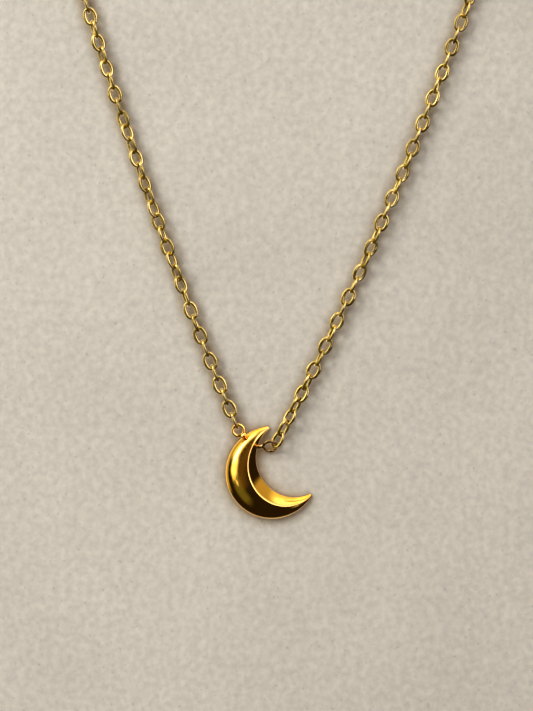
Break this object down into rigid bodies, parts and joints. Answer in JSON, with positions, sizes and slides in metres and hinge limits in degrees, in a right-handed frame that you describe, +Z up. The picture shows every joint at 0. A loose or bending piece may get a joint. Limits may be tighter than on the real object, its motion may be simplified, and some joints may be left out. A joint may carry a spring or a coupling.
{
  "type": "pendant necklace",
  "caption": "Crescent moon pendant held by soldered eyelets between the two halves of a fine cable chain with a lobster clasp.",
  "frame": {"origin": "on the crescent's flat back face, at the middle of its widest part", "axes": "+Z up along the hanging necklace, +Y out of the crescent's back towards the wearer's nape, the crescent's front faces -Y"},
  "size_m": [0.0808, 0.0649, 0.1334],
  "materials": {
    "pendant_gold": "high polish, rich yellow gold colour",
    "chain_gold": "polished pale yellow gold colour wire",
    "clasp_gold": "polished pale yellow gold colour",
    "spring_steel": "bright spring wire"
  },
  "bodies": {
    "pendant": {"crescent": "pendant_gold", "eyelet_left": "pendant_gold", "eyelet_right": "pendant_gold"},
    "left_link_1": {"left_link_1": "chain_gold"},
    "left_link_2": {"left_link_2": "chain_gold"},
    "left_link_3": {"left_link_3": "chain_gold"},
    "left_link_4": {"left_link_4": "chain_gold"},
    "left_link_5": {"left_link_5": "chain_gold"},
    "left_run_01": {"left_run_01": "chain_gold"},
    "left_run_02": {"left_run_02": "chain_gold"},
    "left_run_03": {"left_run_03": "chain_gold"},
    "left_run_04": {"left_run_04": "chain_gold"},
    "left_run_05": {"left_run_05": "chain_gold"},
    "left_run_06": {"left_run_06": "chain_gold"},
    "left_run_07": {"left_run_07": "chain_gold"},
    "left_run_08": {"left_run_08": "chain_gold"},
    "left_run_09": {"left_run_09": "chain_gold"},
    "left_run_10": {"left_run_10": "chain_gold"},
    "left_run_11": {"left_run_11": "chain_gold"},
    "left_run_12": {"left_run_12": "chain_gold"},
    "left_run_13": {"left_run_13": "chain_gold"},
    "left_run_14": {"left_run_14": "chain_gold"},
    "left_run_15": {"left_run_15": "chain_gold"},
    "left_run_16": {"left_run_16": "chain_gold"},
    "left_run_17": {"left_run_17": "chain_gold"},
    "clasp_ring": {"clasp_ring": "clasp_gold"},
    "clasp_body": {"clasp_body": "clasp_gold", "clasp_pin": "clasp_gold", "clasp_spring": "spring_steel"},
    "clasp_lever": {"clasp_lever": "clasp_gold"},
    "right_link_1": {"right_link_1": "chain_gold"},
    "right_link_2": {"right_link_2": "chain_gold"},
    "right_link_3": {"right_link_3": "chain_gold"},
    "right_link_4": {"right_link_4": "chain_gold"},
    "right_link_5": {"right_link_5": "chain_gold"},
    "right_run_01": {"right_run_01": "chain_gold"},
    "right_run_02": {"right_run_02": "chain_gold"},
    "right_run_03": {"right_run_03": "chain_gold"},
    "right_run_04": {"right_run_04": "chain_gold"},
    "right_run_05": {"right_run_05": "chain_gold"},
    "right_run_06": {"right_run_06": "chain_gold"},
    "right_run_07": {"right_run_07": "chain_gold"},
    "right_run_08": {"right_run_08": "chain_gold"},
    "right_run_09": {"right_run_09": "chain_gold"},
    "right_run_10": {"right_run_10": "chain_gold"},
    "right_run_11": {"right_run_11": "chain_gold"},
    "right_run_12": {"right_run_12": "chain_gold"},
    "right_run_13": {"right_run_13": "chain_gold"},
    "right_run_14": {"right_run_14": "chain_gold"},
    "right_run_15": {"right_run_15": "chain_gold"},
    "right_run_16": {"right_run_16": "chain_gold"},
    "right_run_17": {"right_run_17": "chain_gold"},
    "end_ring": {"end_ring": "clasp_gold"}
  },
  "joints": [
    {"name": "left_link_1_swing", "type": "hinge", "parent": "pendant", "child": "left_link_1", "pos_m": [-0.00097, -0.0009, 0.00663], "axis": [0, -1, 0], "range_deg": [-15, 45]},
    {"name": "left_link_2_swing", "type": "hinge", "parent": "left_link_1", "child": "left_link_2", "pos_m": [-0.00156, -0.0009, 0.00806], "axis": [0.924, 0, 0.3825], "range_deg": [-45, 45]},
    {"name": "left_link_3_swing", "type": "hinge", "parent": "left_link_2", "child": "left_link_3", "pos_m": [-0.00212, -0.0009, 0.00942], "axis": [0, 1, 0], "range_deg": [-45, 18]},
    {"name": "left_link_4_swing", "type": "hinge", "parent": "left_link_3", "child": "left_link_4", "pos_m": [-0.00267, -0.0009, 0.01077], "axis": [0.9266, 0, 0.3761], "range_deg": [-45, 45]},
    {"name": "left_link_5_swing", "type": "hinge", "parent": "left_link_4", "child": "left_link_5", "pos_m": [-0.00322, -0.0009, 0.01213], "axis": [0, -1, 0], "range_deg": [-14, 45]},
    {"name": "left_run_01_swing", "type": "hinge", "parent": "left_link_5", "child": "left_run_01", "pos_m": [-0.00376, -0.0009, 0.01349], "axis": [-0.9291, 0, -0.3698], "range_deg": [-45, 45]},
    {"name": "left_run_02_swing", "type": "hinge", "parent": "left_run_01", "child": "left_run_02", "pos_m": [-0.00762, -0.0009, 0.02354], "axis": [0.5377, -0.8192, 0.1998], "range_deg": [-45, 45]},
    {"name": "left_run_03_swing", "type": "hinge", "parent": "left_run_02", "child": "left_run_03", "pos_m": [-0.01125, -0.0009, 0.03368], "axis": [-0.7735, -0.5736, -0.2695], "range_deg": [-45, 45]},
    {"name": "left_run_04_swing", "type": "hinge", "parent": "left_run_03", "child": "left_run_04", "pos_m": [-0.01469, -0.0009, 0.04388], "axis": [-0.9502, 0, -0.3116], "range_deg": [-45, 45]},
    {"name": "left_run_05_swing", "type": "hinge", "parent": "left_run_04", "child": "left_run_05", "pos_m": [-0.01796, -0.0009, 0.05414], "axis": [0, 1, 0], "range_deg": [-45, 45]},
    {"name": "left_run_06_swing", "type": "hinge", "parent": "left_run_05", "child": "left_run_06", "pos_m": [-0.02106, -0.0009, 0.06444], "axis": [-0.9595, 0, -0.2816], "range_deg": [-45, 45]},
    {"name": "left_run_07_swing", "type": "hinge", "parent": "left_run_06", "child": "left_run_07", "pos_m": [-0.02401, -0.0009, 0.07479], "axis": [0, 1, 0], "range_deg": [-45, 45]},
    {"name": "left_run_08_swing", "type": "hinge", "parent": "left_run_07", "child": "left_run_08", "pos_m": [-0.02684, -0.0009, 0.08518], "axis": [0.9665, 0, 0.2567], "range_deg": [-45, 45]},
    {"name": "left_run_09_swing", "type": "hinge", "parent": "left_run_08", "child": "left_run_09", "pos_m": [-0.02954, -0.0009, 0.0956], "axis": [0, -1, 0], "range_deg": [-45, 45]},
    {"name": "left_run_10_swing", "type": "hinge", "parent": "left_run_09", "child": "left_run_10", "pos_m": [-0.03213, -0.00089, 0.10605], "axis": [0.9717, 0, 0.2362], "range_deg": [-45, 45]},
    {"name": "left_run_11_swing", "type": "hinge", "parent": "left_run_10", "child": "left_run_11", "pos_m": [-0.03451, 0.00211, 0.11594], "axis": [-0.125, -0.8465, 0.5175], "range_deg": [-45, 45]},
    {"name": "left_run_12_swing", "type": "hinge", "parent": "left_run_11", "child": "left_run_12", "pos_m": [-0.03585, 0.0101, 0.12285], "axis": [-0.9796, 0.0416, -0.1967], "range_deg": [-45, 45]},
    {"name": "left_run_13_swing", "type": "hinge", "parent": "left_run_12", "child": "left_run_13", "pos_m": [-0.03575, 0.02015, 0.1266], "axis": [0.192, 0.2323, -0.9535], "range_deg": [-45, 5]},
    {"name": "left_run_14_swing", "type": "hinge", "parent": "left_run_13", "child": "left_run_14", "pos_m": [-0.03434, 0.03066, 0.12841], "axis": [-0.9668, 0.204, -0.1537], "range_deg": [-45, 45]},
    {"name": "left_run_15_swing", "type": "hinge", "parent": "left_run_14", "child": "left_run_15", "pos_m": [-0.03151, 0.04101, 0.12904], "axis": [0.1437, -0.0307, -0.9891], "range_deg": [-45, 7]},
    {"name": "left_run_16_swing", "type": "hinge", "parent": "left_run_15", "child": "left_run_16", "pos_m": [-0.02679, 0.05065, 0.12889], "axis": [0.835, -0.5298, 0.1484], "range_deg": [-45, 45]},
    {"name": "left_run_17_swing", "type": "hinge", "parent": "left_run_16", "child": "left_run_17", "pos_m": [-0.01938, 0.05833, 0.12835], "axis": [-0.0512, 0.1686, 0.9844], "range_deg": [-45, 45]},
    {"name": "clasp_ring_swing", "type": "hinge", "parent": "left_run_17", "child": "clasp_ring", "pos_m": [-0.00925, 0.06148, 0.128], "axis": [-0.0442, 0.9815, -0.1863], "range_deg": [-45, 45]},
    {"name": "clasp_body_swing", "type": "hinge", "parent": "clasp_ring", "child": "clasp_body", "pos_m": [-0.00784, 0.0615, 0.128], "axis": [0, 0, 1], "range_deg": [-45, 45]},
    {"name": "clasp_lever_pivot", "type": "hinge", "parent": "clasp_body", "child": "clasp_lever", "pos_m": [-0.00394, 0.0615, 0.12885], "axis": [0, 1, 0], "range_deg": [0, 15], "deforming": ["clasp_spring"]},
    {"name": "right_link_1_swing", "type": "hinge", "parent": "pendant", "child": "right_link_1", "pos_m": [0.00263, -0.0007, 0.0048], "axis": [0, -0.766, -0.6428], "range_deg": [-45, 45]},
    {"name": "right_link_2_swing", "type": "hinge", "parent": "right_link_1", "child": "right_link_2", "pos_m": [0.00369, -0.00096, 0.00592], "axis": [-0.5665, -0.766, 0.3037], "range_deg": [-45, 45]},
    {"name": "right_link_3_swing", "type": "hinge", "parent": "right_link_2", "child": "right_link_3", "pos_m": [0.00438, -0.00096, 0.00722], "axis": [-0.6673, 0.6558, 0.3531], "range_deg": [-45, 45]},
    {"name": "right_link_4_swing", "type": "hinge", "parent": "right_link_3", "child": "right_link_4", "pos_m": [0.00506, -0.00096, 0.00852], "axis": [0.5925, 0.7437, -0.3096], "range_deg": [-45, 45]},
    {"name": "right_link_5_swing", "type": "hinge", "parent": "right_link_4", "child": "right_link_5", "pos_m": [0.00573, -0.00096, 0.00982], "axis": [-0.7517, 0.5334, 0.3878], "range_deg": [-45, 45]},
    {"name": "right_run_01_swing", "type": "hinge", "parent": "right_link_5", "child": "right_run_01", "pos_m": [0.0064, -0.00096, 0.01112], "axis": [0.3335, 0.9273, -0.1699], "range_deg": [-45, 45]},
    {"name": "right_run_02_swing", "type": "hinge", "parent": "right_run_01", "child": "right_run_02", "pos_m": [0.01111, -0.00096, 0.0208], "axis": [0.9061, 0, -0.4231], "range_deg": [-45, 45]},
    {"name": "right_run_03_swing", "type": "hinge", "parent": "right_run_02", "child": "right_run_03", "pos_m": [0.0155, -0.00096, 0.03063], "axis": [0, -1, 0], "range_deg": [-45, 45]},
    {"name": "right_run_04_swing", "type": "hinge", "parent": "right_run_03", "child": "right_run_04", "pos_m": [0.01962, -0.00096, 0.04058], "axis": [0.9284, 0, -0.3715], "range_deg": [-45, 45]},
    {"name": "right_run_05_swing", "type": "hinge", "parent": "right_run_04", "child": "right_run_05", "pos_m": [0.02349, -0.00096, 0.05062], "axis": [0, -1, 0], "range_deg": [-45, 45]},
    {"name": "right_run_06_swing", "type": "hinge", "parent": "right_run_05", "child": "right_run_06", "pos_m": [0.02714, -0.00096, 0.06075], "axis": [-0.9438, 0, 0.3304], "range_deg": [-45, 45]},
    {"name": "right_run_07_swing", "type": "hinge", "parent": "right_run_06", "child": "right_run_07", "pos_m": [0.0306, -0.00096, 0.07094], "axis": [0, 1, 0], "range_deg": [-45, 45]},
    {"name": "right_run_08_swing", "type": "hinge", "parent": "right_run_07", "child": "right_run_08", "pos_m": [0.03387, -0.00096, 0.0812], "axis": [-0.9549, 0, 0.2971], "range_deg": [-45, 45]},
    {"name": "right_run_09_swing", "type": "hinge", "parent": "right_run_08", "child": "right_run_09", "pos_m": [0.03699, -0.00096, 0.0915], "axis": [0, 1, 0], "range_deg": [-45, 45]},
    {"name": "right_run_10_swing", "type": "hinge", "parent": "right_run_09", "child": "right_run_10", "pos_m": [0.03995, -0.00096, 0.10185], "axis": [0.963, 0, -0.2696], "range_deg": [-45, 45]},
    {"name": "right_run_11_swing", "type": "hinge", "parent": "right_run_10", "child": "right_run_11", "pos_m": [0.0425, 0.00068, 0.11208], "axis": [0.0876, -0.9273, 0.3639], "range_deg": [-45, 45]},
    {"name": "right_run_12_swing", "type": "hinge", "parent": "right_run_11", "child": "right_run_12", "pos_m": [0.04332, 0.0074, 0.12024], "axis": [0.9906, 0.0999, -0.0937], "range_deg": [-45, 45]},
    {"name": "right_run_13_swing", "type": "hinge", "parent": "right_run_12", "child": "right_run_13", "pos_m": [0.04199, 0.01691, 0.12499], "axis": [0.0983, -0.3053, 0.9472], "range_deg": [-45, 45]},
    {"name": "right_run_14_swing", "type": "hinge", "parent": "right_run_13", "child": "right_run_14", "pos_m": [0.03895, 0.02693, 0.12738], "axis": [-0.9361, -0.3517, -0.0026], "range_deg": [-45, 45]},
    {"name": "right_run_15_swing", "type": "hinge", "parent": "right_run_14", "child": "right_run_15", "pos_m": [0.03437, 0.0366, 0.12838], "axis": [-0.0089, 0.0518, -0.9986], "range_deg": [-45, 45]},
    {"name": "right_run_16_swing", "type": "hinge", "parent": "right_run_15", "child": "right_run_16", "pos_m": [0.02804, 0.04527, 0.12852], "axis": [-0.7373, -0.6752, -0.0212], "range_deg": [-45, 45]},
    {"name": "right_run_17_swing", "type": "hinge", "parent": "right_run_16", "child": "right_run_17", "pos_m": [0.01958, 0.05183, 0.12823], "axis": [0.0349, -0.0049, -0.9994], "range_deg": [-45, 45]},
    {"name": "end_ring_swing", "type": "hinge", "parent": "right_run_17", "child": "end_ring", "pos_m": [0.00925, 0.05448, 0.128], "axis": [0.0385, 0.9993, 0.0017], "range_deg": [-45, 45]}
  ]
}
